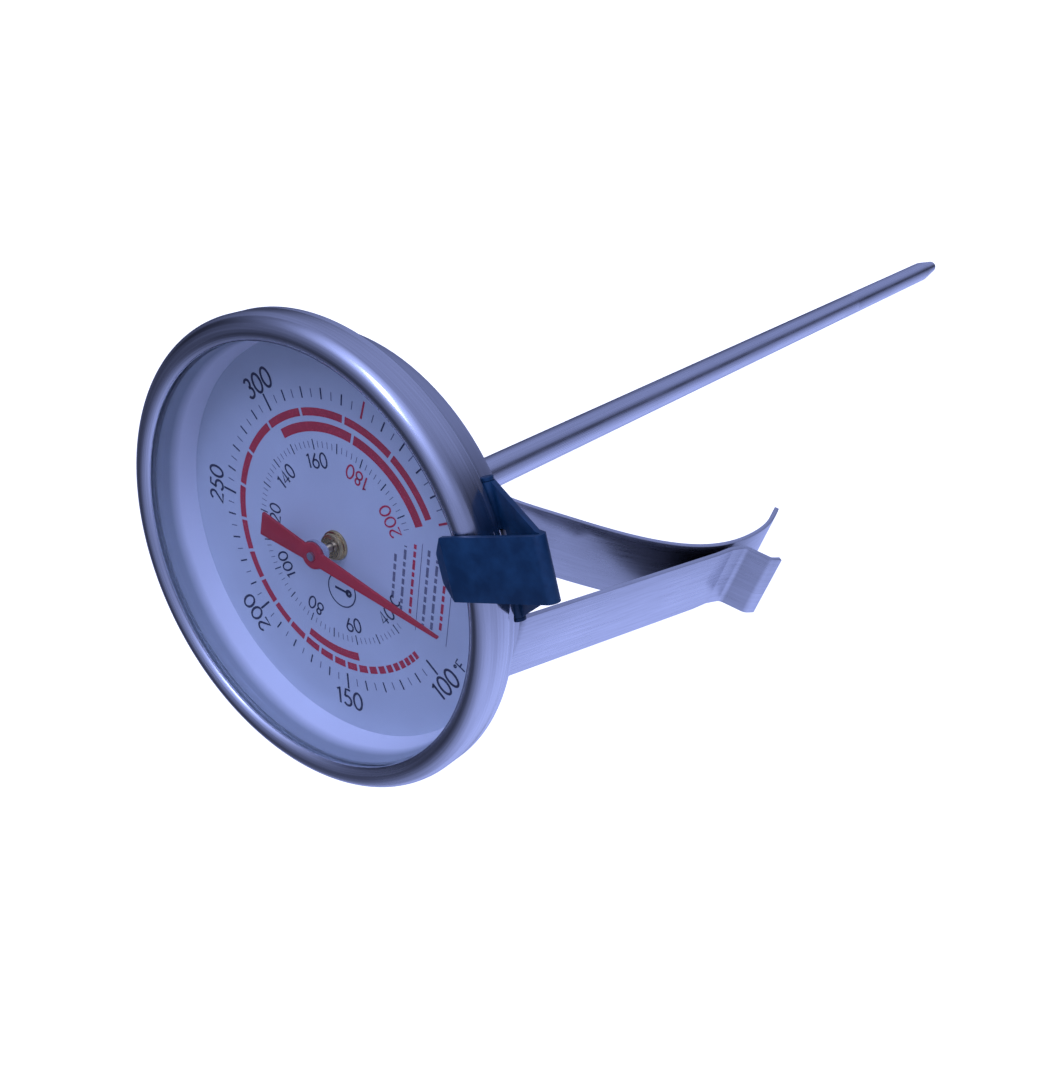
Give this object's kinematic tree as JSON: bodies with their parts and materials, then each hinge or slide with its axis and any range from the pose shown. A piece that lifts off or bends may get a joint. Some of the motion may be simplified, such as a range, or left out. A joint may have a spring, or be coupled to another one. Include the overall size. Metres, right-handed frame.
{
  "type": "dial thermometer",
  "caption": "Bimetal dial thermometer with a long pointed stem, a white dual-scale dial under glass and a spring clip that holds it on the wall of a kettle.",
  "frame": {"origin": "on the stem's axis, where the bare stem leaves the collar under the head", "axes": "+Z along the stem's axis and out of the dial's face; -Z down the stem to its tip; -Y from the stem towards the pot clip's jaws; +X along the width of the clip"},
  "size_m": [0.054, 0.0626, 0.2079],
  "materials": {
    "case_steel": "satin drawn stainless",
    "bezel_steel": "polished stainless with fine turning lines",
    "lens_clear": "clear flat glass",
    "seal_rubber": "matt black rubber",
    "gasket_pale": "pale grey silicone",
    "spacer_white": "semi-gloss white",
    "dial_white": "satin white enamel with black and red print",
    "inner_steel": "plain stainless",
    "brass": "turned brass",
    "stem_steel": "bright drawn stainless",
    "spring_steel": "spring steel",
    "bimetal": "rolled bimetal",
    "hub_steel": "bright nickel",
    "pointer_red": "satin red paint",
    "hook_blue": "dark blue baked paint on spring steel",
    "clip_steel": "rolled stainless strip",
    "rivet_steel": "bright steel"
  },
  "bodies": {
    "head": {"case_pan": "case_steel", "bezel_ring": "bezel_steel", "lens": "lens_clear", "lens_gasket": "gasket_pale", "spacer_ring": "spacer_white", "dial_plate": "dial_white", "dial_seat": "inner_steel", "dial_bush": "brass", "stem_collar": "stem_steel", "collar_seal": "seal_rubber", "snap_ring": "spring_steel", "stem_tube": "stem_steel", "coil_anchor": "brass", "guide_bushes": "brass", "bimetal_coil": "bimetal"},
    "needle": {"pointer": "pointer_red", "pointer_hub": "hub_steel", "pointer_shaft": "inner_steel", "coil_coupling": "brass"},
    "carrier": {"hook_carrier": "clip_steel", "hook_pin": "hook_blue"},
    "hook": {"rim_hook": "hook_blue"},
    "pot_clip": {"clip_outer_leaf": "clip_steel", "clip_rivets": "rivet_steel"},
    "jaw": {"clip_inner_leaf": "clip_steel"}
  },
  "joints": [
    {"name": "pointer_turn", "type": "hinge", "parent": "head", "child": "needle", "pos_m": [0, 0, 0], "axis": [0, 0, 1], "range_deg": [-325, 14], "stiffness_Nm_per_rad": 0.00001, "deforming": ["bimetal_coil"]},
    {"name": "carrier_turn", "type": "hinge", "parent": "head", "child": "carrier", "pos_m": [0, 0, 0], "axis": [0, 0, 1], "continuous": true},
    {"name": "hook_swing", "type": "hinge", "parent": "carrier", "child": "hook", "pos_m": [0.01519, -0.02091, 0.00805], "axis": [0.809, 0.5878, 0], "range_deg": [0, 60]},
    {"name": "clip_slide", "type": "slide", "parent": "carrier", "child": "pot_clip", "axis": [0, 0, -1], "range_m": [0, 0.13]},
    {"name": "jaw_open", "type": "hinge", "parent": "pot_clip", "child": "jaw", "pos_m": [0, 0.00625, -0.00625], "axis": [1, 0, 0], "range_deg": [0, 5], "stiffness_Nm_per_rad": 0.4}
  ]
}
